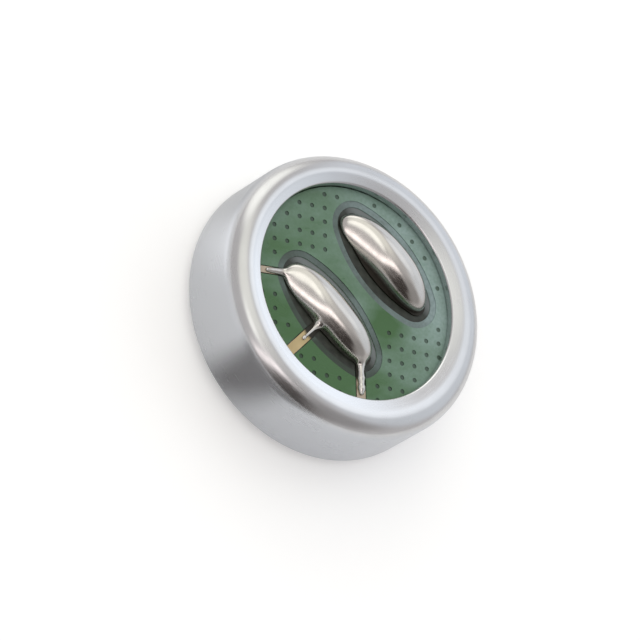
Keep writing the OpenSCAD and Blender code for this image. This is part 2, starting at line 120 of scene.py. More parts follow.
class Bench:
    """Modelling steps in millimetres, as done by hand in edit mode."""

    @staticmethod
    def clear() -> None:
        """Leave edit mode and deselect everything."""
        if bpy.context.object and bpy.context.object.mode != "OBJECT":
            bpy.ops.object.mode_set(mode="OBJECT")
        bpy.ops.object.select_all(action="DESELECT")

    @staticmethod
    def pick(piece: Piece) -> None:
        """Select one piece alone and make it the active one.

        Args:
            piece: the piece to select.
        """
        Bench.clear()
        bpy.context.view_layer.objects.active = piece
        piece.select_set(True)

    @staticmethod
    def edit(piece: Piece) -> None:
        """Open one piece in edit mode with all of it selected.

        Args:
            piece: the piece to open.
        """
        Bench.pick(piece)
        bpy.ops.object.mode_set(mode="EDIT")
        bpy.ops.mesh.select_all(action="SELECT")

    @staticmethod
    def wire(name: str, points: Sequence[Sequence[float]], closed: bool = False) -> Piece:
        """Draw a wire by extruding one vertex from point to point.

        Args:
            name: the new object's name.
            points: the places the wire passes, in order.
            closed: whether it returns to its start.

        Returns:
            The wire, left in edit mode with all of it selected.
        """
        Bench.clear()
        bpy.ops.mesh.primitive_plane_add(size=1.0)
        piece = bpy.context.object
        piece.name = name
        Bench.edit(piece)
        bpy.ops.mesh.merge(type="CENTER")
        here = Vector(points[0])
        bpy.ops.transform.translate(value=here)
        for there in list(points[1:]) + ([points[0]] if closed else []):
            step = Vector(there) - here
            bpy.ops.mesh.extrude_region_move(TRANSFORM_OT_translate={"value": step})
            here = Vector(there)
        bpy.ops.mesh.select_all(action="SELECT")
        if closed:
            bpy.ops.mesh.remove_doubles(threshold=WELD)
        return piece

    @staticmethod
    def lathe(name: str, section: Sequence[Point], steps: int) -> Piece:
        """Turn a half section about the Z axis.

        Args:
            name: the new object's name.
            section: radius and height along the section.
            steps: faces round the turn.

        Returns:
            The turned piece, in object mode.
        """
        piece = Bench.wire(name, [(r, 0.0, z) for r, z in section])
        bpy.ops.mesh.spin(steps=steps, angle=TURN, center=(0, 0, 0), axis=(0, 0, 1))
        Bench.weld()
        return piece

    @staticmethod
    def prism(name: str, outline: Sequence[Point], low: float, high: float) -> Piece:
        """Raise a closed outline into a prism.

        Args:
            name: the new object's name.
            outline: the outline's points.
            low: height of its base.
            high: height of its top.

        Returns:
            The prism, in object mode.
        """
        piece = Bench.wire(name, [(x, y, low) for x, y in outline], closed=True)
        bpy.ops.mesh.edge_face_add()
        bpy.ops.mesh.extrude_region_move(TRANSFORM_OT_translate={"value": (0, 0, high - low)})
        Bench.weld()
        return piece

    @staticmethod
    def disc(name: str, sides: int, radius: float, low: float, high: float) -> Piece:
        """Add a disc about the Z axis.

        Args:
            name: the new object's name.
            sides: faces round it.
            radius: its radius.
            low: height of its base.
            high: height of its top.

        Returns:
            The disc, in object mode.
        """
        Bench.clear()
        middle = (0, 0, (low + high) / 2)
        bpy.ops.mesh.primitive_cylinder_add(vertices=sides, radius=radius, depth=high - low, location=middle)
        piece = bpy.context.object
        piece.name = name
        bpy.ops.object.transform_apply(location=True)
        return piece

    @staticmethod
    def weld() -> None:
        """Merge doubles in the open piece, turn its faces outwards and leave edit mode."""
        bpy.ops.mesh.select_all(action="SELECT")
        bpy.ops.mesh.remove_doubles(threshold=WELD)
        bpy.ops.mesh.normals_make_consistent(inside=False)
        bpy.ops.object.mode_set(mode="OBJECT")

    @staticmethod
    def join(name: str, pieces: Sequence[Piece]) -> Piece:
        """Join pieces into one object.

        Args:
            name: the joined object's name.
            pieces: what is joined; the first one stays.

        Returns:
            The joined object.
        """
        Bench.clear()
        for piece in pieces:
            piece.select_set(True)
        bpy.context.view_layer.objects.active = pieces[0]
        if len(pieces) > 1:
            bpy.ops.object.join()
        pieces[0].name = name
        return pieces[0]

    @staticmethod
    def copies(pattern: Piece, places: Iterable[Point]) -> Piece:
        """Copy a piece to several places and join the copies.

        Args:
            pattern: the piece that is repeated; it is used up.
            places: where the copies go.

        Returns:
            The joined copies.
        """
        pieces = []
        for x, y in places:
            piece = pattern.copy()
            piece.data = pattern.data.copy()
            piece.data.transform(Matrix.Translation((x, y, 0.0)))
            bpy.context.scene.collection.objects.link(piece)
            pieces.append(piece)
        name = pattern.name
        bpy.data.objects.remove(pattern)
        return Bench.join(name, pieces)

    @staticmethod
    def apply(piece: Piece, kind: str, **settings: object) -> None:
        """Add a modifier and apply it.

        Args:
            piece: the piece that is changed.
            kind: Blender's name of the modifier.
            settings: the modifier's properties.
        """
        Bench.pick(piece)
        modifier = piece.modifiers.new(kind.lower(), kind)
        for key, value in settings.items():
            setattr(modifier, key, value)
        bpy.ops.object.modifier_apply(modifier=modifier.name)

    @staticmethod
    def cut(piece: Piece, tool: Piece) -> None:
        """Cut a tool out of a piece and use it up; the cut faces keep the tool's material."""
        Bench.apply(
            piece, "BOOLEAN", operation="DIFFERENCE", object=tool, solver="EXACT", material_mode="TRANSFER"
        )
        bpy.data.objects.remove(tool)

    @staticmethod
    def finish(piece: Piece, slot: str, nodes: Sequence[str], angle: float) -> None:
        """Bring a piece to metres, shade it and tie it to the frame.

        Args:
            piece: the modelled piece.
            slot: the record's material slot; not used.
            nodes: the CAD nodes that it stands for.
            angle: edges sharper than this many degrees stay sharp.
        """
        Bench.pick(piece)
        piece.data.transform(Matrix.Scale(MM, 4))
        bpy.ops.object.shade_smooth_by_angle(angle=math.radians(angle))
        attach(piece, BODY)
        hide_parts(*nodes)


def arc(centre: Point, radius: float, start: float, end: float, steps: int) -> list[Point]:
    """Give points along an arc between two angles in degrees, both ends among them."""
    angles = [math.radians(start + (end - start) * i / steps) for i in range(steps + 1)]
    return [(centre[0] + radius * math.cos(a), centre[1] + radius * math.sin(a)) for a in angles]


def turned(x: Measure, y: Measure, turn: float) -> tuple[Measure, Measure]:
    """Measure places along a direction in radians and to its left."""
    return x * math.cos(turn) + y * math.sin(turn), y * math.cos(turn) - x * math.sin(turn)


@dataclass(frozen=True)
class Oval:
    """Oval of two flat and two tight arcs, with its long axis on Y."""

    half_length: float
    half_width: float
    end_r: float

    @property
    def side_r(self) -> float:
        """Work out the long sides' arc.

        Returns:
            Its radius.
        """
        reach = self.half_length - self.end_r
        top = self.half_width**2 + reach**2 - self.end_r**2
        return top / (2 * (self.half_width - self.end_r))

    @property
    def join_y(self) -> float:
        """Distance along Y at which the sides run into the ends."""
        return self.side_r * (self.half_length - self.end_r) / (self.side_r - self.end_r)

    def grown(self, by: float) -> Oval:
        """Give the oval with a margin added all round."""
        return Oval(self.half_length + by, self.half_width + by, self.end_r + by)

    def width_at(self, y: float) -> float:
        """Give the half width at one place.

        Args:
            y: distance along Y from the oval's centre.

        Returns:
            The half width.
        """
        if abs(y) < self.join_y:
            return math.sqrt(self.side_r**2 - y**2) - self.side_r + self.half_width
        rest = self.end_r**2 - (abs(y) - self.half_length + self.end_r) ** 2
        return math.sqrt(max(rest, 0.0))

    def holds(self, x: float, y: float) -> bool:
        """Say whether a point lies inside."""
        return abs(y) < self.half_length and abs(x) < self.width_at(y)

    def outline(self, centre: Vector, steps: int = 28) -> list[Point]:
        """Draw the outline anticlockwise.

        Args:
            centre: where the oval lies.
            steps: stretches of each arc.

        Returns:
            The outline's points.
        """
        lean = math.degrees(math.asin(self.join_y / self.side_r))
        reach = self.half_length - self.end_r
        away = self.side_r - self.half_width
        points = arc((-away, 0), self.side_r, -lean, lean, steps)
        points += arc((0, reach), self.end_r, lean, 180 - lean, steps)[1:]
        points += arc((away, 0), self.side_r, 180 - lean, 180 + lean, steps)[1:]
        points += arc((0, -reach), self.end_r, 180 + lean, 360 - lean, steps)[1:-1]
        return [(centre.x + x, centre.y + y) for x, y in points]


class Sheet:
    """A material's node tree, with short calls for the nodes that the finishes share."""

    def __init__(self, name: str) -> None:
        """Start a material with a principled shader and the piece's place in millimetres.

        Args:
            name: the material's name.
        """
        self.material = bpy.data.materials.new(name)
        self.material.use_nodes = True
        self.tree = self.material.node_tree
        self.shader = self.tree.nodes["Principled BSDF"]
        place = self.add("ShaderNodeTexCoord").outputs["Object"]
        scale = self.feed(self.add("ShaderNodeMapping"), Vector=place, Scale=(1 / MM, 1 / MM, 1 / MM))
        self.place = scale.outputs["Vector"]

    @classmethod
    def of_tree(cls, tree: bpy.types.NodeTree) -> Sheet:
        """Work on a tree that exists, such as the room's.

        Args:
            tree: the node tree.

        Returns:
            A sheet without a shader or a place of its own.
        """
        sheet = cls.__new__(cls)
        sheet.tree = tree
        return sheet

    def add(self, kind: str, **settings: object) -> bpy.types.Node:
        """Add a node.

        Args:
            kind: Blender's name of the node.
            settings: the node's properties.

        Returns:
            The node.
        """
        node = self.tree.nodes.new(kind)
        for key, value in settings.items():
            setattr(node, key, value)
        return node

    def put(self, socket: Socket, value: object) -> None:
        """Link an output to an input, or set the input to a plain value.

        Args:
            socket: the input.
            value: an output socket, a number or a colour.
        """
        if isinstance(value, Socket):
            self.tree.links.new(value, socket)
        else:
            socket.default_value = value

    def feed(self, node: bpy.types.Node, **values: object) -> bpy.types.Node:
        """Set or link a node's inputs by name.

        Args:
            node: the node that is fed.
            values: what each input takes; _ stands for a space in its name.

        Returns:
            The same node.
        """
        for key, value in values.items():
            self.put(node.inputs[key.replace("_", " ")], value)
        return node

    def calc(self, operation: str, *values: object) -> Socket:
        """Work a number out.

        Args:
            operation: Blender's name of the operation.
            values: its inputs, sockets or numbers.

        Returns:
            The result.
        """
        node = self.add("ShaderNodeMath", operation=operation)
        for socket, value in zip(node.inputs, values):
            self.put(socket, value)
        return node.outputs[0]

    def times(self, first: object, second: object) -> Socket:
        """Multiply two values."""
        return self.calc("MULTIPLY", first, second)

    def plus(self, first: object, *others: object) -> Socket:
        """Add values up."""
        return reduce(lambda total, value: self.calc("ADD", total, value), others, first)

    def split(self) -> tuple[Socket, Socket, Socket]:
        """Split the piece's place into x, y and z."""
        x, y, z = self.feed(self.add("ShaderNodeSeparateXYZ"), Vector=self.place).outputs
        return x, y, z

    def vector(self, x: object, y: object, z: object) -> Socket:
        """Combine three values into coordinates."""
        return self.feed(self.add("ShaderNodeCombineXYZ"), X=x, Y=y, Z=z).outputs[0]

    def away(self, x: Socket, y: Socket, centre: Point) -> Socket:
        """Measure the distance of a place from an upright axis."""
        dx, dy = self.calc("SUBTRACT", x, centre[0]), self.calc("SUBTRACT", y, centre[1])
        return self.calc("SQRT", self.plus(self.times(dx, dx), self.times(dy, dy)))

    def noise(self, scale: float, detail: float = 2.0, place: object = None, **more: float) -> Socket:
        """Add noise.

        Args:
            scale: features per millimetre.
            detail: octaves.
            place: coordinates, the piece's own if left out.
            more: other inputs of the node.

        Returns:
            The noise, about 0 to 1.
        """
        node = self.add("ShaderNodeTexNoise")
        self.feed(node, Vector=place or self.place, Scale=scale, Detail=detail, **more)
        return node.outputs["Fac"]

    def spread(self, value: Socket, low: float, high: float, start: float = 0.3, end: float = 0.7) -> Socket:
        """Map a value from one range, if not given that of most noise, to another, clamped."""
        node = self.add("ShaderNodeMapRange")
        return self.feed(node, Value=value, From_Min=start, From_Max=end, To_Min=low, To_Max=high).outputs[0]

    def fade(self, value: Socket, start: float, end: float) -> Socket:
        """Rise smoothly from 0 at the start to 1 at the end, which may lie below the start."""
        node = self.add("ShaderNodeMapRange", interpolation_type="SMOOTHSTEP")
        return self.feed(node, Value=value, From_Min=start, From_Max=end, To_Min=0.0, To_Max=1.0).outputs[0]

    def blend(self, share: object, first: object, second: object) -> Socket:
        """Mix two colours.

        Args:
            share: how much of the second, 0 to 1.
            first: a colour or a socket.
            second: a colour or a socket.

        Returns:
            The mixed colour.
        """
        node = self.add("ShaderNodeMix", data_type="RGBA")
        given = {"Factor_Float": share, "A_Color": first, "B_Color": second}
        for socket in node.inputs:
            if socket.identifier in given:
                value = given[socket.identifier]
                self.put(socket, (*value, 1.0) if isinstance(value, tuple) else value)
        return next(s for s in node.outputs if s.identifier == "Result_Color")

    def bump(self, height: Socket, depth: float, strength: float = 1.0) -> None:
        """Add relief to the shader, with a depth in millimetres."""
        node = self.feed(self.add("ShaderNodeBump"), Height=height, Distance=depth * MM, Strength=strength)
        self.feed(self.shader, Normal=node.outputs["Normal"])

    def dot(self, way: Socket, axis: Vector) -> Socket:
        """Measure how far a direction reaches along an axis.

        Args:
            way: the direction.
            axis: the axis, of length 1.

        Returns:
            The cosine of the angle between them.
        """
        node = self.add("ShaderNodeVectorMath", operation="DOT_PRODUCT")
        self.put(node.inputs[0], way)
        self.put(node.inputs[1], axis)
        return node.outputs["Value"]

    def cone(self, way: Socket, middle: Vector, core: float, reach: float) -> Socket:
        """Give 1 where a direction lies within a cone's core of degrees, falling to 0 at its reach."""
        edge, full = math.cos(math.radians(reach)), math.cos(math.radians(core))
        return self.fade(self.dot(way, middle), edge, full)


@dataclass(frozen=True)
class SatinAluminium:
    """Drawn aluminium, with a painted cool reflection tint that also darkens the wall, and a rolled ring
    that is paler towards -X than towards +X.
    """

    colour: Colour = (0.59, 0.59, 0.60)
    dull: Colour = (0.53, 0.53, 0.535)
    wall_reflection_tint: Colour = (0.545, 0.565, 0.60)
    ring_pale: Colour = (0.87, 0.88, 0.895)
    ring_dull: Colour = (0.60, 0.605, 0.62)
    wall_r: Point = (2.93, 2.99)
    wall_share: float = 0.8
    ring_r: Point = (2.48, 2.66)
    ring_z: Point = (1.6, 1.7)
    ring_pale_x: Point = (-1.9, 1.3)
    line_r: Point = (2.6, 2.92)
    line_pitch: float = 9.0
    line_drift: float = 1.2
    rough: Point = (0.20, 0.30)

    def material(self) -> Material:
        """Build the finish.

        Returns:
            The can's material.
        """
        sheet = Sheet("satin_aluminium")
        x, y, height = sheet.split()
        radius = sheet.away(x, y, (0.0, 0.0))
        cloud = sheet.noise(1.6, 3.0)
        grain = sheet.noise(28.0, 2.0)
        pitch = self.line_pitch
        rolled = sheet.vector(
            sheet.times(radius, pitch), sheet.times(cloud, self.line_drift), sheet.times(height, pitch)
        )
        lines = sheet.noise(3.0, 4.0, rolled)
        tone = sheet.blend(sheet.spread(cloud, 0.0, 0.55), self.colour, self.dull)
        # The wall takes a painted reflection: a cool, darker tint that stands in for bluish surroundings
        # mirrored in it.
        tone = sheet.blend(sheet.spread(radius, 0.0, self.wall_share, *self.wall_r), tone, self.wall_reflection_tint)
        inside = sheet.spread(radius, 1.0, 0.0, *self.ring_r)
        above = sheet.spread(height, 0.0, 1.0, *self.ring_z)
        # The ring's top is paler towards -X and duller towards +X.
        ring_tone = sheet.blend(sheet.spread(x, 0.0, 1.0, *self.ring_pale_x), self.ring_pale, self.ring_dull)
        tone = sheet.blend(sheet.times(inside, above), tone, ring_tone)
        wear = sheet.plus(sheet.times(lines, 0.5), sheet.times(cloud, 0.5))
        sheet.feed(sheet.shader, Base_Color=tone, Metallic=1.0, Roughness=sheet.spread(wear, *self.rough))
        marks = sheet.times(lines, sheet.spread(radius, 1.0, 0.0, *self.line_r))
        sheet.bump(sheet.plus(marks, sheet.times(grain, 0.2)), 0.003, 0.14)
        return sheet.material


@dataclass(frozen=True)
class BrightSolder:
    """Solder that set smooth and bright."""

    colour: Colour = (0.60, 0.58, 0.555)
    dull: Colour = (0.51, 0.49, 0.465)
    rough: Point = (0.15, 0.21)

    def material(self) -> Material:
        """Build the finish.

        Returns:
            The bumps' material.
        """
        sheet = Sheet("bright_solder")
        cloud = sheet.noise(3.2, 3.0)
        ripple = sheet.noise(7.0, 2.0)
        tone = sheet.blend(sheet.spread(cloud, 0.0, 0.5), self.colour, self.dull)
        sheet.feed(sheet.shader, Base_Color=tone, Metallic=1.0, Roughness=sheet.spread(ripple, *self.rough))
        sheet.bump(ripple, 0.004, 0.15)
        return sheet.material


class MaskZone(Enum):
    """Where the mask lies: over copper, in a dimple, or on the step around a pad."""

    FIELD = "field"
    DIMPLE = "dimple"
    STEP = "step"


@dataclass(frozen=True)
class MaskLacquer:
    """Green lacquer in streaks, with a painted sheen of reflected light that pales it towards +X, and a
    deeper patch between the pads.
    """

    zone: MaskZone
    # near is the lacquer's own tone; far is the tone that the streaks and the painted sheen of reflected
    # light pale it towards.
    near: Colour
    far: Colour
    deep: float = 0.55
    deep_at: Point = (0.27, -0.82)
    deep_r: Point = (0.1, 0.66)
    painted_sheen: float = 0.26
    painted_sheen_x: Point = (1.0, 2.1)
    lean: Point = (0.16, -0.03)
    twist: float = -0.05
    clouding: float = 0.9
    drift_range: Point = (0.16, 1.04)
    streak: Point = (0.8, -0.6)
    streak_squash: float = 0.45
    rough: Point = (0.24, 0.4)

    def material(self) -> Material:
        """Build the finish.

        Returns:
            The material of one zone of the mask.
        """
        sheet = Sheet(f"mask_{self.zone.value}")
        x, y, _ = sheet.split()
        cos, sin = self.streak
        along = sheet.plus(sheet.times(x, cos), sheet.times(y, sin))
        across = sheet.plus(sheet.times(x, -sin), sheet.times(y, cos))
        cloud = sheet.noise(1.5, 3.0, sheet.vector(sheet.times(along, self.streak_squash), across, 0.0))
        grain = sheet.noise(16.0, 3.0)
        # The slopes in x and y, the twist and the painted sheen term pale the lacquer towards +X and paint
        # the reflection of a bright window; the cloud adds streaks, and the last term adds a deeper patch.
        drift = sheet.plus(
            sheet.times(x, self.lean[0]),
            sheet.times(y, self.lean[1]),
            sheet.times(sheet.times(x, y), self.twist),
            sheet.times(cloud, self.clouding),
            sheet.spread(x, 0.0, self.painted_sheen, *self.painted_sheen_x),
            sheet.spread(sheet.away(x, y, self.deep_at), -self.deep, 0.0, *self.deep_r),
        )
        tone = sheet.blend(sheet.spread(drift, 0.0, 1.0, *self.drift_range), self.near, self.far)
        tone = sheet.blend(sheet.spread(grain, 0.0, 0.25), tone, self.near)
        gloss = sheet.spread(cloud, *self.rough)
        sheet.feed(sheet.shader, Base_Color=tone, Specular_IOR_Level=0.4, Roughness=gloss)
        sheet.bump(sheet.plus(cloud, sheet.times(grain, 0.3)), 0.006, 0.3)
        return sheet.material


@dataclass(frozen=True)
class BareLaminate:
    """Dark resin and glass, with the weave showing faintly and a painted sheen of reflected light on the +X
    side of each pad.
    """

    resin: Colour = (0.018, 0.022, 0.016)
    glass: Colour = (0.038, 0.044, 0.034)
    painted_sheen_tone: Colour = (0.165, 0.185, 0.185)
    painted_sheen_pitch: float = 1.91
    painted_sheen_shift: float = 0.76
    weave_turn: float = 21.0

    def material(self) -> Material:
        """Build the finish.

        Returns:
            The board's material.
        """
        sheet = Sheet("bare_laminate")
        x, y, _ = sheet.split()
        warp, weft = (sheet.calc("SINE", sheet.times(place, self.weave_turn)) for place in (x, y))
        grain = sheet.noise(14.0, 3.0)
        weave = sheet.plus(sheet.times(sheet.times(warp, weft), 0.5), grain)
        tone = sheet.blend(sheet.spread(weave, 0.0, 1.0, 0.0, 1.2), self.resin, self.glass)
        # A painted reflection of bright light, repeated at the pad pitch, pales the laminate on the +X side
        # of each pad.
        turn = sheet.times(sheet.plus(x, self.painted_sheen_shift), TURN / self.painted_sheen_pitch)
        tone = sheet.blend(sheet.spread(sheet.calc("SINE", turn), 0.0, 1.0, 0.1, 0.8), tone, self.painted_sheen_tone)
        gloss = sheet.spread(grain, 0.4, 0.55)
        sheet.feed(sheet.shader, Base_Color=tone, Roughness=gloss, Specular_IOR_Level=0.4)
        sheet.bump(weave, 0.005, 0.4)
        return sheet.material


@dataclass(frozen=True)
class GiltCopper:
    """Gilt copper, stained dark by flux near the bumps and browner on the outer spokes."""

    gold: Colour = (0.45, 0.345, 0.185)
    tan: Colour = (0.40, 0.33, 0.25)
    stain: Colour = (0.035, 0.033, 0.028)
    gold_y: Point = (0.5, 0.7)
    clean_edge: Point = (1.56, 1.66)
    clean_lean: float = 0.25
    clean_wander: float = 0.1

    def material(self) -> Material:
        """Build the finish.

        Returns:
            The lands' material.
        """
        sheet = Sheet("gilt_copper")
        x, y, _ = sheet.split()
        cloud = sheet.noise(5.0, 3.0)
        off = sheet.calc("ABSOLUTE", y)
        bright = sheet.blend(sheet.spread(off, 0.0, 1.0, *self.gold_y), self.gold, self.tan)
        edge = sheet.calc("SUBTRACT", sheet.times(off, self.clean_lean), x)
        edge = sheet.plus(edge, sheet.times(cloud, self.clean_wander))
        tone = sheet.blend(sheet.spread(edge, 0.0, 1.0, *self.clean_edge), self.stain, bright)
        sheet.feed(sheet.shader, Base_Color=tone, Metallic=1.0, Roughness=sheet.spread(cloud, 0.28, 0.45))
        sheet.bump(sheet.noise(22.0, 3.0), 0.004, 0.4)
        return sheet.material


@dataclass(frozen=True)
class NeedleFelt:
    """Black felt of matted fibres."""

    dark: Colour = (0.009, 0.009, 0.010)
    light: Colour = (0.062, 0.062, 0.066)

    def material(self) -> Material:
        """Build the finish.

        Returns:
            The felt's material.
        """
        sheet = Sheet("needle_felt")
        fibres = sheet.noise(13.0, 6.0, Distortion=3.5)
        cloud = sheet.noise(2.5, 3.0)
        matted = sheet.spread(sheet.times(fibres, cloud), 0.0, 1.0, 0.14, 0.38)
        tone = sheet.blend(matted, self.dark, self.light)
        sheet.feed(sheet.shader, Base_Color=tone, Roughness=0.95, Sheen_Weight=0.35, Sheen_Roughness=0.5)
        sheet.bump(fibres, 0.04, 0.9)
        return sheet.material


@dataclass(frozen=True)
class PlainFinish:
    """Finish of a sealed inner piece: two close tones with a fine grain."""

    name: str
    colour: Colour
    other: Colour
    metallic: float
    roughness: float
    uneven: float = 0.06

    def material(self) -> Material:
        """Build the finish.

        Returns:
            The material.
        """
        sheet = Sheet(self.name)
        cloud = sheet.noise(4.0, 3.0)
        grain = sheet.noise(20.0, 3.0)
        tone = sheet.blend(sheet.spread(cloud, 0.0, 1.0), self.colour, self.other)
        rough = sheet.spread(grain, self.roughness - self.uneven, self.roughness + self.uneven)
        sheet.feed(sheet.shader, Base_Color=tone, Metallic=self.metallic, Roughness=rough)
        sheet.bump(grain, 0.003, 0.3)
        return sheet.material


@dataclass
class CrimpedCan:
    """Drawn can whose rear rim is rolled over the board and dips towards its cut edge."""

    levels: Levels
    wall: float = 0.2
    front_t: float = 0.2
    front_edge_r: float = 0.18
    shoulder_r: float = 0.41
    dip: float = 17.0
    rim_r: float = 2.28
    rim_edge_r: float = 0.06
    roll_r: float = 0.08
    lip_shift: Point = (0.009, 0.057)
    lip_start_r: float = 2.62
    wall_rings: tuple[float, ...] = (0.3, 0.45, 0.6)
    inlet_count: int = 6
    inlet_r: float = 0.25
    inlet_pitch_r: float = 1.2
    steps: int = 288

    def lip_centre(self) -> Point:
        """Find the centre of the cut edge's upper rounding, which the dipping ring runs into.

        Returns:
            Its radius and height.
        """
        dip = math.radians(self.dip)
        away = self.levels.can_r - self.shoulder_r - self.rim_r - self.rim_edge_r
        reach = self.shoulder_r - self.rim_edge_r
        drop = reach / math.cos(dip) - away * math.tan(dip)
        return self.rim_r + self.rim_edge_r, self.levels.rim_z - self.shoulder_r + drop

    def section(self) -> list[Point]:
        """Draw the half section from the front's centre over the rim to the inside.

        Returns:
            Radius and height along the section.
        """
        at = self.levels
        edge, roll, lip = self.front_edge_r, self.shoulder_r, self.rim_edge_r
        bore_r = at.can_r - self.wall
        low, top, under = at.front_z, at.rim_z, at.land_z
        points = [(0.0, low), (self.inlet_pitch_r, low)]
        points += arc((at.can_r - edge, low + edge), edge, -90, 0, 10)
        points += [(at.can_r, low + (top - low) * share) for share in self.wall_rings]
        points += arc((at.can_r - roll, top - roll), roll, 0, 90 + self.dip, 30)
        points += arc(self.lip_centre(), lip, 90 + self.dip, 180, 8)
        points += arc((self.rim_r + lip, under + lip), lip, 180, 270, 8)
        points += arc((bore_r - self.roll_r, under - self.roll_r), self.roll_r, 90, 0, 6)
        points += [(r, low + self.front_t) for r in (bore_r, self.inlet_pitch_r, 0.0)]
        return points

    def shift_lip(self, can: Piece) -> None:
        """Push the rim's cut edge a little off centre, as the rolling left it.

        Args:
            can: the turned can.
        """
        for vertex in can.data.vertices:
            radius = math.hypot(vertex.co.x, vertex.co.y)
            if vertex.co.z < self.levels.land_z - WELD or radius > self.lip_start_r:
                continue
            share = min(1.0, (self.lip_start_r - radius) / (self.lip_start_r - self.rim_r - self.rim_edge_r))
            share = share * share * (3 - 2 * share)
            vertex.co.x += self.lip_shift[0] * share
            vertex.co.y += self.lip_shift[1] * share

    def build(self) -> Piece:
        """Spin the can, drill its sound holes and dress it.

        Returns:
            The can.
        """
        can = Bench.lathe("crimped_can", self.section(), self.steps)
        self.shift_lip(can)
        low, reach = self.levels.front_z, 1.5 * self.front_t
        drill = Bench.disc("sound_holes", 32, self.inlet_r, low - reach, low + reach)
        turns = [TURN * i / self.inlet_count for i in range(self.inlet_count)]
        places = [(self.inlet_pitch_r * math.cos(t), self.inlet_pitch_r * math.sin(t)) for t in turns]
        Bench.cut(can, Bench.copies(drill, places))
        can.data.materials.clear()
        can.data.materials.append(SatinAluminium().material())
        Bench.finish(can, "can_metal", ["can"], 40)
        return can


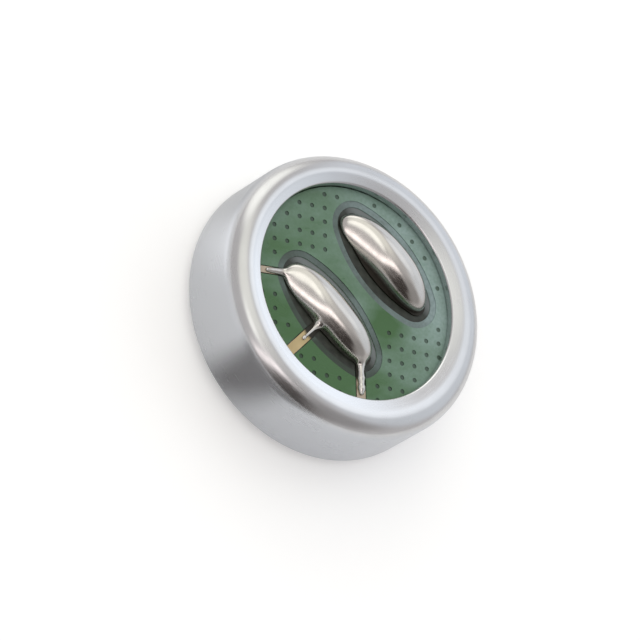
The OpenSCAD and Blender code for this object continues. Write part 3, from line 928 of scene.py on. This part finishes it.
@dataclass
class MaskedBoard:
    """Green mask on the board, with openings at the pads and dimples in staggered rows."""

    levels: Levels
    rim_r: float
    moat_side: float = 0.23
    moat_end: float = 0.14
    moat_end_r: float = 0.45
    ground_w: float = 0.42
    step_w: float = 0.13
    relief: float = 0.012
    edge_cover: float = 0.06
    dot_d: float = 0.1
    dot_dx: float = 0.43
    dot_dy: float = 0.21
    dot_at: Point = (-0.06, 0.03)
    dot_keep: float = 0.05
    bridge_inset: float = 0.22
    spoke_gap: float = 0.02
    spoke_side_y: float = 0.985
    spoke_ways: tuple[float, float, float] = (180.0, 139.0, 225.0)
    spoke_widths: tuple[float, float, float] = (0.21, 0.14, 0.21)
    # The second colour of each zone holds the streaks and the painted sheen of reflected light.
    field: MaskLacquer = MaskLacquer(MaskZone.FIELD, (0.046, 0.129, 0.036), (0.315, 0.435, 0.415))
    dimple: MaskLacquer = MaskLacquer(MaskZone.DIMPLE, (0.020, 0.046, 0.020), (0.110, 0.170, 0.140))
    step: MaskLacquer = MaskLacquer(MaskZone.STEP, (0.022, 0.038, 0.020), (0.280, 0.370, 0.375), deep=0.0)

    def moats(self, grow: float) -> list[tuple[Vector, Oval]]:
        """Give the outlines of the bare laminate around both bumps.

        Args:
            grow: a margin added all round.

        Returns:
            Each outline's centre and form.
        """
        at = self.levels
        length = at.bump_l + self.moat_end
        pads = ((at.ground, self.ground_w), (at.output, at.output_w))
        return [(p, Oval(length, width + self.moat_side, self.moat_end_r).grown(grow)) for p, width in pads]

    def spokes(self) -> list[tuple[Vector, float, float]]:
        """Lay out the spokes of the ground pad.

        Returns:
            Each spoke's start on the pad, its direction in radians and its width.
        """
        ground = self.levels.ground
        side = Vector((0, self.spoke_side_y, 0))
        starts = (ground - Vector((self.ground_w / 2, 0, 0)), ground + side, ground - side)
        return list(zip(starts, (math.radians(way) for way in self.spoke_ways), self.spoke_widths))

    def clear_of_spokes(self, x: float, y: float) -> bool:
        """Check a dimple against the spokes.

        Args:
            x: the dimple's x.
            y: the dimple's y.

        Returns:
            Whether it stays clear of every spoke.
        """
        for start, turn, width in self.spokes():
            reach = width / 2 + self.spoke_gap + self.dot_keep + self.dot_d / 2
            along, across = turned(x - start.x, y - start.y, turn)
            if along > 0 and abs(across) < reach:
                return False
        return True

    def dot_places(self) -> list[Point]:
        """Lay out the dimples in staggered rows, clear of pads, spokes and rim.

        Returns:
            The dimples' centres.
        """
        at = self.levels
        moats = self.moats(self.step_w + self.dot_keep + self.dot_d / 2)
        between = at.bump_l - self.bridge_inset - self.dot_keep
        rows = math.ceil(at.mask_r / self.dot_dy) + 1
        columns = math.ceil(at.mask_r / self.dot_dx) + 1
        places = []
        for row in range(-rows, rows + 1):
            for column in range(-columns, columns + 1):
                x = self.dot_at[0] + (column + (row % 2) / 2) * self.dot_dx
                y = self.dot_at[1] + row * self.dot_dy
                inside = math.hypot(x, y) < self.rim_r - self.dot_d / 2
                off_pads = not any(oval.holds(x - c.x, y - c.y) for c, oval in moats)
                off_bridge = not (at.ground.x < x < at.output.x and abs(y) < between)
                if inside and off_pads and off_bridge and self.clear_of_spokes(x, y):
                    places.append((x, y))
        return places

    def pad_tools(self, grow: float, low: float, high: float) -> list[Piece]:
        """Make the prisms that open the mask around both pads, between two heights."""
        outlines = [oval.outline(centre) for centre, oval in self.moats(grow)]
        return [Bench.prism("pad_opening", outline, low, high) for outline in outlines]

    def spoke_tools(self, low: float, high: float) -> list[Piece]:
        """Make the bars that open the mask over the spokes.

        Args:
            low: height of the bars' base.
            high: height of their top.

        Returns:
            A bar for each spoke.
        """
        bars = []
        for start, turn, width in self.spokes():
            along = Vector((math.cos(turn), math.sin(turn), 0)) * self.levels.can_r
            aside = Vector((-math.sin(turn), math.cos(turn), 0)) * (width / 2 + self.spoke_gap)
            corners = [start - aside, start + along - aside, start + along + aside, start + aside]
            bars.append(Bench.prism("spoke_opening", [(p.x, p.y) for p in corners], low, high))
        return bars

    def build(self) -> Piece:
        """Cut the mask out of a disc and dress its three zones.

        Returns:
            The mask.
        """
        at = self.levels
        field, dimple, step = (lacquer.material() for lacquer in (self.field, self.dimple, self.step))
        thick = at.land_z - at.board_z
        below, low, above = at.board_z - thick, at.land_z - self.relief, at.land_z + thick
        mask = Bench.disc("green_mask", 256, at.mask_r + self.edge_cover, at.board_z, at.land_z)
        mask.data.materials.append(field)
        for tool in self.pad_tools(self.step_w, low, above):
            tool.data.materials.append(step)
            Bench.cut(mask, tool)
        for tool in self.pad_tools(0.0, below, above) + self.spoke_tools(below, above):
            tool.data.materials.append(field)
            Bench.cut(mask, tool)
        dot = Bench.disc("dimples", 14, self.dot_d / 2, low, low + thick)
        dot.data.materials.append(dimple)
        Bench.cut(mask, Bench.copies(dot, self.dot_places()))
        Bench.finish(mask, "mask", ["solder_mask"], 30)
        return mask


@dataclass(frozen=True)
class SolderFlank:
    """Flank on a bump's near side, steep over a straight foot and flatter towards +Y."""

    foot_x: float
    height: float
    twist: float
    steep: float = 88.0
    least: float = 25.0
    ease: float = 0.1

    def gap(self, points: np.ndarray) -> np.ndarray:
        """Measure how far points lie outside the flank.

        Args:
            points: rows of x, y and height over the land.

        Returns:
            The distances, negative inside.
        """
        along = self.ease * np.logaddexp(0.0, points[:, 1] / self.ease)
        lean = np.radians(np.maximum(self.steep - self.twist * along, self.least))
        radius = self.height / (1 - np.cos(lean))
        x = points[:, 0] - self.foot_x - radius * np.sin(lean)
        return np.hypot(x, points[:, 2] + radius * np.cos(lean)) - radius


@dataclass(frozen=True)
class BumpForm:
    """Body of one bump: round sections of changing radius along a slightly bent spine."""

    middle_y: float
    half_length: float
    radius: float
    bluntness: float
    fullness: float
    spine: tuple[float, float, float]
    lift: float
    flank: SolderFlank
    blend: float = 0.03
    segments: int = 64
    rings: int = 96

    def stations(self, share: np.ndarray) -> tuple[np.ndarray, np.ndarray, np.ndarray]:
        """Give the sections at shares of the half length.

        Args:
            share: -1 at one tip, 1 at the other.

        Returns:
            The sections' x, height over the land and radius.
        """
        fill = np.clip(1 - np.abs(share) ** self.fullness, 0.0, 1.0)
        x = self.spine[0] + self.spine[1] * share + self.spine[2] * share**2
        return x, self.lift * (1 - share**2), self.radius * fill**self.bluntness

    def gap(self, points: np.ndarray) -> np.ndarray:
        """Measure how far points lie outside the body.

        Args:
            points: rows of x, y and height over the land.

        Returns:
            The distances, negative inside.
        """
        share = (points[:, 1] - self.middle_y) / self.half_length
        inner = np.clip(share, -1.0, 1.0)
        x, lift, radius = self.stations(inner)
        over = (share - inner) * self.half_length
        body = np.sqrt((points[:, 0] - x) ** 2 + (points[:, 2] - lift) ** 2 + over**2) - radius
        return self.blend * np.logaddexp(body / self.blend, self.flank.gap(points) / self.blend)

    def rough(self) -> Piece:
        """Shape the body from a ball whose poles lie on its tips.

        Returns:
            The body over a land at height 0.
        """
        Bench.clear()
        bpy.ops.mesh.primitive_uv_sphere_add(segments=self.segments, ring_count=self.rings, radius=1.0)
        piece = bpy.context.object
        Bench.edit(piece)
        bpy.ops.transform.rotate(value=math.pi / 2, orient_axis="X", center_override=(0, 0, 0))
        bpy.ops.object.mode_set(mode="OBJECT")
        for vertex in piece.data.vertices:
            share = max(-1.0, min(1.0, vertex.co.y))
            x, lift, radius = (float(v) for v in self.stations(np.array(share)))
            size = radius / (math.hypot(vertex.co.x, vertex.co.z) or 1.0)
            y = self.middle_y + self.half_length * share
            vertex.co = (x + vertex.co.x * size, y, lift + vertex.co.z * size)
        return piece


@dataclass(frozen=True)
class SolderRun:
    """Solder that has run along a spoke: distance from its start and half width at each station."""

    start: Point
    turn: float
    stations: tuple[Point, ...]
    sides: int = 24

    def gap(self, points: np.ndarray) -> np.ndarray:
        """Measure how far points lie outside the run.

        Args:
            points: rows of x, y and height over the land.

        Returns:
            The distances, negative inside.
        """
        far, wide = (np.array(column) for column in zip(*self.stations))
        along, across = turned(points[:, 0] - self.start[0], points[:, 1] - self.start[1], self.turn)
        inner = np.clip(along, far[0], far[-1])
        return np.sqrt(across**2 + points[:, 2] ** 2 + (along - inner) ** 2) - np.interp(inner, far, wide)

    def rough(self) -> Piece:
        """Turn the run about its spoke.

        Returns:
            The run over a land at height 0.
        """
        first, last = self.stations[0], self.stations[-1]
        tip = (0.0, last[0] + last[1] / 2)
        section = [(0.0, first[0])] + [(radius, far) for far, radius in self.stations] + [tip]
        piece = Bench.lathe("solder_run", section, self.sides)
        place = Matrix.Translation((*self.start, 0.0)) @ Matrix.Rotation(self.turn, 4, "Z")
        piece.data.transform(place @ Matrix.Rotation(math.pi / 2, 4, "Y"))
        return piece


SolderForm = BumpForm | SolderRun


@dataclass
class SolderBumps:
    """The two bumps of solder, and what has run along the ground pad's spokes."""

    levels: Levels
    board: MaskedBoard
    nodes: tuple[str, str] = ("ground_solder", "output_solder")
    ground_body: BumpForm = BumpForm(
        middle_y=0.1,
        half_length=1.24,
        radius=0.436,
        bluntness=0.45,
        fullness=2.7,
        spine=(-0.772, -0.07, -0.06),
        lift=0.0,
        flank=SolderFlank(foot_x=-1.225, height=0.58, twist=40.0),
    )
    output_body: BumpForm = BumpForm(
        middle_y=0.108,
        half_length=1.248,
        radius=0.458,
        bluntness=0.52,
        fullness=2.4,
        spine=(1.206, -0.072, -0.11),
        lift=0.03,
        flank=SolderFlank(foot_x=0.755, height=0.62, twist=36.0),
    )
    runs: tuple[tuple[Point, ...], ...] = (
        ((0.0, 0.17), (0.12, 0.14), (0.2, 0.09), (0.28, 0.058), (0.36, 0.04), (0.45, 0.034), (0.55, 0.032),
         (0.62, 0.036), (0.68, 0.048), (0.71, 0.04)),
        ((0.0, 0.14), (0.25, 0.12), (0.33, 0.1), (0.42, 0.078), (0.5, 0.068), (0.6, 0.062), (0.7, 0.056),
         (0.78, 0.045)),
        ((0.0, 0.14), (0.2, 0.115), (0.3, 0.085), (0.4, 0.07), (0.47, 0.078), (0.53, 0.09), (0.6, 0.075),
         (0.66, 0.072), (0.72, 0.09), (0.77, 0.09), (0.84, 0.06)),
    )
    voxel: float = 0.012
    flow: float = 0.035
    passes: int = 3
    rounds: int = 8
    probe: float = 0.001
    stride: float = 0.7
    least_slope: float = 0.2
    longest_step: float = 0.05
    smooth_share: float = 0.5
    smooth_rounds: int = 3

    def skin(self, points: np.ndarray, forms: Sequence[SolderForm]) -> np.ndarray:
        """Measure how far points lie outside the smooth skin over several forms.

        Args:
            points: rows of x, y and height over the land.
            forms: the forms that flow into each other.

        Returns:
            The distances, negative inside.
        """
        gaps = np.stack([form.gap(points) for form in forms])
        least = gaps.min(axis=0)
        return least - self.flow * np.log(np.exp((least - gaps) / self.flow).sum(axis=0))

    def settle(self, piece: Piece, forms: Sequence[SolderForm]) -> None:
        """Move a rough piece's surface onto the smooth skin over its forms.

        Args:
            piece: the rough union, over a land at height 0.
            forms: the forms that flow into each other.
        """
        points = np.empty(len(piece.data.vertices) * 3)
        piece.data.vertices.foreach_get("co", points)
        points = points.reshape(-1, 3)
        probes = np.eye(3) * self.probe
        for _ in range(self.rounds):
            value = self.skin(points, forms)
            rises = [self.skin(points + step, forms) - self.skin(points - step, forms) for step in probes]
            slope = np.stack(rises, axis=1) / (2 * self.probe)
            share = self.stride * value / np.maximum((slope**2).sum(axis=1), self.least_slope)
            points -= np.clip(share, -self.longest_step, self.longest_step)[:, None] * slope
        piece.data.vertices.foreach_set("co", points.ravel())
        piece.data.update()

    def pool(self, name: str, forms: Sequence[SolderForm]) -> Piece:
        """Flow forms together into one body of solder on the lands.

        Args:
            name: the body's name.
            forms: what it is made of.

        Returns:
            The solder, cut off at the lands and closed underneath.
        """
        piece = Bench.join(name, [form.rough() for form in forms])
        Bench.apply(piece, "REMESH", mode="VOXEL", voxel_size=self.voxel)
        for _ in range(self.passes):
            self.settle(piece, forms)
            Bench.apply(piece, "SMOOTH", factor=self.smooth_share, iterations=self.smooth_rounds)
        land = Vector((0, 0, self.levels.land_z))
        piece.data.transform(Matrix.Translation(land))
        Bench.edit(piece)
        up = Vector((0, 0, 1))
        bpy.ops.mesh.bisect(plane_co=land, plane_no=up, clear_inner=True, use_fill=True, threshold=WELD)
        Bench.weld()
        return piece

    def build(self) -> list[Piece]:
        """Model both bumps and dress them.

        Returns:
            The ground and the output bump.
        """
        runs = [
            SolderRun((start.x, start.y), turn, stations)
            for (start, turn, _), stations in zip(self.board.spokes(), self.runs)
        ]
        solder = BrightSolder().material()
        ground = self.pool("ground_bump", [self.ground_body, *runs])
        output = self.pool("output_bump", [self.output_body])
        for piece, node in zip((ground, output), self.nodes):
            piece.data.materials.clear()
            piece.data.materials.append(solder)
            Bench.finish(piece, "solder", [node], 50)
        return [ground, output]


@dataclass
class FeltPad:
    """Black felt disc on the can's front."""

    levels: Levels
    edge_r: float = 0.05
    steps: int = 180
    rings: int = 24

    def build(self) -> Piece:
        """Spin the felt and dress it.

        Returns:
            The felt.
        """
        top, radius, edge = self.levels.front_z, self.levels.felt_r, self.edge_r
        flat = [radius * i / self.rings for i in range(self.rings)]
        section = [(r, 0.0) for r in flat if r < radius - edge]
        section += arc((radius - edge, edge), edge, -90, 0, 5)
        section += arc((radius - edge, top - edge), edge, 0, 90, 5)
        section += [(r, top) for r in reversed(flat) if r < radius - edge]
        felt = Bench.lathe("felt_pad", section, self.steps)
        felt.data.materials.append(NeedleFelt().material())
        Bench.finish(felt, "felt", ["dust_felt"], 60)
        return felt


@dataclass
class KeptNodes:
    """CAD nodes that keep their own mesh and get a finish."""

    modelled: Sequence[str]
    brass: PlainFinish = PlainFinish("turned_brass", (0.72, 0.53, 0.25), (0.62, 0.45, 0.20), 1.0, 0.3)
    film: PlainFinish = PlainFinish("metallised_film", (0.66, 0.68, 0.72), (0.58, 0.60, 0.64), 1.0, 0.2)
    plastic: PlainFinish = PlainFinish("moulded_plastic", (0.80, 0.79, 0.74), (0.72, 0.71, 0.66), 0.0, 0.5)
    epoxy: PlainFinish = PlainFinish(
        "moulded_epoxy", (0.035, 0.035, 0.038), (0.022, 0.022, 0.024), 0.0, 0.55
    )
    ceramic: PlainFinish = PlainFinish("fired_ceramic", (0.48, 0.36, 0.23), (0.40, 0.30, 0.19), 0.0, 0.6)
    tin: PlainFinish = PlainFinish("tinned_metal", (0.70, 0.70, 0.69), (0.60, 0.60, 0.59), 1.0, 0.32)

    def build(self) -> list[Piece]:
        """Dress every node that isn't modelled again with its slot's finish.

        Returns:
            The dressed nodes.
        """
        tin = self.tin.material()
        by_slot = {
            "brass": self.brass.material(),
            "film": self.film.material(),
            "holder_plastic": self.plastic.material(),
            "moulding": self.epoxy.material(),
            "ceramic": self.ceramic.material(),
            "tin": tin,
            "solder": tin,
            "laminate": BareLaminate().material(),
            "gold_copper": GiltCopper().material(),
        }
        kept = []
        for part in frame["record"]["subparts"]:
            if part["node"] in self.modelled:
                continue
            node = frame["nodes"][part["node"]]
            node.data.materials.clear()
            node.data.materials.append(by_slot[part["material_slot"]])
            kept.append(node)
        return kept


@dataclass(frozen=True)
class PhotoView:
    """Where the camera stands, as worked out from the photo's ellipses."""

    tilt: float = 39.93
    roll: float = 30.82
    turn: float = 8.6
    axis_px: Point = (359.1, 293.1)
    axis_z: float = 1.85
    px_per_mm: float = 50.35
    image_px: float = 640.0
    distance: float = 115.0
    sensor: float = 36.0
    clip_m: Point = (0.001, 20.0)

    def axes(self) -> tuple[Vector, Vector, Vector]:
        """Work out how the image lies in the frame.

        Returns:
            The image's right and up, and the direction to the camera.
        """
        tilt, roll, turn = (math.radians(a) for a in (self.tilt, self.roll, self.turn))
        away = Vector((math.cos(turn), -math.sin(turn), 0))
        back = Vector((0, 0, 1)) * math.cos(tilt) - away * math.sin(tilt)
        axis = (Vector((0, 0, 1)) - back * math.cos(tilt)) / math.sin(tilt)
        side = back.cross(axis)
        right = axis * math.cos(roll) - side * math.sin(roll)
        up = axis * math.sin(roll) + side * math.cos(roll)
        return right, up, back

    def place(self) -> None:
        """Set up the camera."""
        right, up, back = self.axes()
        middle = self.image_px / 2
        across = (self.axis_px[0] - middle) / self.px_per_mm
        above = (middle - self.axis_px[1]) / self.px_per_mm
        aim = Vector((0, 0, self.axis_z)) - right * across - up * above
        data = bpy.data.cameras.new("camera")
        data.sensor_width = self.sensor
        data.lens = self.sensor * self.distance / (self.image_px / self.px_per_mm)
        data.clip_start, data.clip_end = self.clip_m
        camera = bpy.data.objects.new("camera", data)
        bpy.context.scene.collection.objects.link(camera)
        turn = Matrix((right, up, back)).transposed().to_4x4()
        camera.matrix_world = Matrix.Translation((aim + back * self.distance) * MM) @ turn
        bpy.context.scene.camera = camera


def direction(azimuth: float, elevation: float) -> Vector:
    """Give a unit direction by its degrees from +X towards +Y and above the floor."""
    az, el = math.radians(azimuth), math.radians(elevation)
    return Vector((math.cos(el) * math.cos(az), math.cos(el) * math.sin(az), math.sin(el)))


@dataclass(frozen=True)
class Glow:
    """A soft patch of light or dark in the room, placed by its direction from the capsule."""

    name: str
    azimuth: float
    elevation: float
    core: float
    reach: float
    tone: Colour

    def share(self, sheet: Sheet, way: Socket) -> Socket:
        """Give the patch's strength in a direction, 0 to 1."""
        return sheet.cone(way, direction(self.azimuth, self.elevation), self.core, self.reach)


@dataclass(frozen=True)
class Strip:
    """A narrow strip of light that runs from one direction to another."""

    name: str
    start: Point
    end: Point
    core: float
    reach: float
    tone: Colour
    fade_before: float = 8.0
    fade_past: float = 3.0

    def share(self, sheet: Sheet, way: Socket) -> Socket:
        """Give the strip's strength in a direction.

        Args:
            sheet: the room's node tree.
            way: the looked-up direction.

        Returns:
            The strength, 0 to 1.
        """
        first, last = direction(*self.start), direction(*self.end)
        half = math.degrees(first.angle(last)) / 2
        along = sheet.cone(way, (first + last).normalized(), half - self.fade_before, half + self.fade_past)
        off = sheet.calc("ABSOLUTE", sheet.dot(way, first.cross(last).normalized()))
        band = sheet.fade(off, math.sin(math.radians(self.reach)), math.sin(math.radians(self.core)))
        return sheet.times(along, band)


@dataclass
class Studio:
    """White floor, and a room with soft lights on some sides and a dark corner on another."""

    floor_size: float = 3000.0
    floor_drop: float = 0.01
    floor_tones: tuple[Colour, Colour] = ((0.88, 0.88, 0.88), (0.8668, 0.8668, 0.8668))
    floor_fill: float = 0.29
    mirror_fill: float = 0.22
    light_pool_at: Point = (-1.7, 5.3)
    light_pool_fill: float = 0.36
    shade_at: Point = (1.2, 4.2)
    patch_core: float = 0.8
    patch_reach: float = 2.6
    walls: Colour = (0.68, 0.66, 0.655)
    glows: tuple[Glow, ...] = (
        Glow("dim_side", 242.0, 42.0, 16.0, 38.0, (0.40, 0.385, 0.38)),
        Glow("sky", 322.0, 36.0, 13.0, 38.0, (0.88, 0.92, 0.97)),
        Glow("bounce", 88.0, 66.0, 14.0, 34.0, (1.22, 1.21, 1.13)),
        Glow("lamp", 146.0, 57.0, 4.5, 13.5, (1.85, 1.84, 1.74)),
        Glow("window", 356.0, 20.0, 9.0, 31.0, (1.0, 1.05, 1.12)),
        Glow("pane", 352.0, 54.0, 6.0, 19.0, (1.22, 1.26, 1.31)),
        Glow("softbox", 54.0, 23.0, 11.0, 27.0, (1.70, 1.70, 1.61)),
        Glow("dark_corner", 203.0, 12.0, 16.0, 40.0, (0.30, 0.28, 0.27)),
        Glow("door_foot", 204.0, 12.0, 10.0, 22.0, (0.05, 0.041, 0.038)),
        Glow("door_head", 204.0, 40.0, 9.0, 20.0, (0.05, 0.041, 0.038)),
    )
    strip: Strip = Strip("tube", (168.0, 14.0), (210.0, 69.0), 2.0, 6.3, (2.55, 2.34, 2.30))
    dark_sheet_size: float = 30.0
    dark_sheet_z: float = 0.004
    dark_sheet_share: float = 0.76
    dark_sheet_edges: tuple[tuple[Point, float], ...] = (((-2.85, 1.25), 160.0), ((-3.0, -0.62), 48.0))
    dark_sheet_soft: float = 1.1
    dark_sheet_tones: tuple[Colour, Colour] = ((0.10, 0.088, 0.085), (0.13, 0.115, 0.11))

    def lay(self, name: str, size: float, x: float, z: float) -> Piece:
        """Lay a level square in the scene.

        Args:
            name: its name.
            size: its side.
            x: its middle's x.
            z: its height.

        Returns:
            The square, in metres.
        """
        Bench.clear()
        bpy.ops.mesh.primitive_plane_add(size=size)
        square = bpy.context.object
        square.name = name
        square.data.transform(Matrix.Scale(MM, 4) @ Matrix.Translation((x, 0, z)))
        return square

    def patch(self, sheet: Sheet, centre: Point) -> Socket:
        """Give 1 in the middle of a soft round patch on the floor and 0 outside it."""
        x, y, _ = sheet.split()
        return sheet.fade(sheet.away(x, y, centre), self.patch_reach, self.patch_core)

    def floor(self) -> None:
        """Lay the floor, paler to the camera and to mirrors; mirrors also see a painted pool of light and a
        painted shadow on it.
        """
        floor = self.lay("floor", self.floor_size, 0.0, -self.floor_drop)
        sheet = Sheet("pale_floor")
        tone = sheet.blend(sheet.spread(sheet.noise(0.05, 2.0), 0.0, 1.0), *self.floor_tones)
        path = sheet.add("ShaderNodeLightPath").outputs
        seen = sheet.calc("MAXIMUM", path["Is Camera Ray"], path["Is Transmission Ray"])
        shown = sheet.times(seen, self.floor_fill)
        # Only mirrors see these: a painted pool of light, and a painted shadow where the floor is darker.
        light_pool = sheet.times(self.patch(sheet, self.light_pool_at), self.light_pool_fill)
        open_floor = sheet.calc("SUBTRACT", 1.0, self.patch(sheet, self.shade_at))
        mirrored = sheet.plus(sheet.times(open_floor, self.mirror_fill), light_pool)
        mirrored = sheet.times(mirrored, path["Is Glossy Ray"])
        below = sheet.add("ShaderNodeNewGeometry").outputs["Backfacing"]
        sheet.feed(sheet.shader, Base_Color=tone, Roughness=0.9, Specular_IOR_Level=0.1)
        sheet.feed(sheet.shader, Emission_Color=(1.0, 1.0, 1.0, 1.0))
        sheet.feed(sheet.shader, Emission_Strength=sheet.calc("MAXIMUM", shown, mirrored))
        sheet.feed(sheet.shader, Alpha=sheet.calc("SUBTRACT", 1.0, below))
        floor.data.materials.append(sheet.material)

    def painted_dark_reflection(self) -> None:
        """Lay a soft-edged dark sheet beside the can: a painted dark reflection that only mirrors see."""
        dark_sheet = self.lay("painted_dark_reflection", self.dark_sheet_size, -self.dark_sheet_size / 2, self.dark_sheet_z)
        sheet = Sheet("painted_dark_reflection")
        x, y, _ = sheet.split()
        dark: object = self.dark_sheet_share
        for (px, py), turn in self.dark_sheet_edges:
            nx, ny = math.sin(math.radians(turn)), -math.cos(math.radians(turn))
            inside = sheet.plus(sheet.times(x, nx), sheet.times(y, ny))
            inside = sheet.calc("SUBTRACT", inside, px * nx + py * ny)
            dark = sheet.times(sheet.fade(inside, 0.0, -self.dark_sheet_soft), dark)
        tone = sheet.blend(sheet.spread(sheet.noise(0.2, 2.0), 0.0, 1.0), *self.dark_sheet_tones)
        sheet.feed(sheet.shader, Base_Color=tone, Roughness=0.9, Specular_IOR_Level=0.1, Alpha=dark)
        dark_sheet.data.materials.append(sheet.material)
        dark_sheet.visible_camera = False
        dark_sheet.visible_diffuse = False
        dark_sheet.visible_shadow = False
        dark_sheet.visible_transmission = False

    def room(self) -> None:
        """Paint the room's light around the capsule."""
        world = bpy.data.worlds.new("room")
        world.use_nodes = True
        bpy.context.scene.world = world
        sheet = Sheet.of_tree(world.node_tree)
        way = sheet.add("ShaderNodeTexCoord").outputs["Generated"]
        tone: object = self.walls
        for light in (*self.glows, self.strip):
            tone = sheet.blend(light.share(sheet, way), tone, light.tone)
            tone.node.label = light.name
        sheet.feed(sheet.tree.nodes["Background"], Color=tone, Strength=1.0)

    def build(self) -> None:
        """Set up floor, painted dark reflection and room."""
        self.floor()
        self.painted_dark_reflection()
        self.room()


def main() -> None:
    """Build the capsule's pieces, dress them, set the scene and report each piece."""
    logging.basicConfig(level=logging.INFO, format="%(name)s: %(message)s")
    bpy.context.scene.view_settings.view_transform = "Standard"
    levels = Levels.from_frame()
    PhotoView().place()
    can = CrimpedCan(levels)
    board = MaskedBoard(levels, can.rim_r)
    bumps = SolderBumps(levels, board)
    pieces = [can.build(), board.build(), *bumps.build(), FeltPad(levels).build()]
    pieces += KeptNodes(("can", "solder_mask", "dust_felt", *bumps.nodes)).build()
    Studio().build()
    for piece in pieces:
        LOG.info("%s: %d faces, %s", piece.name, len(piece.data.polygons), piece.data.materials[0].name)


if __name__ == "__main__":
    main()
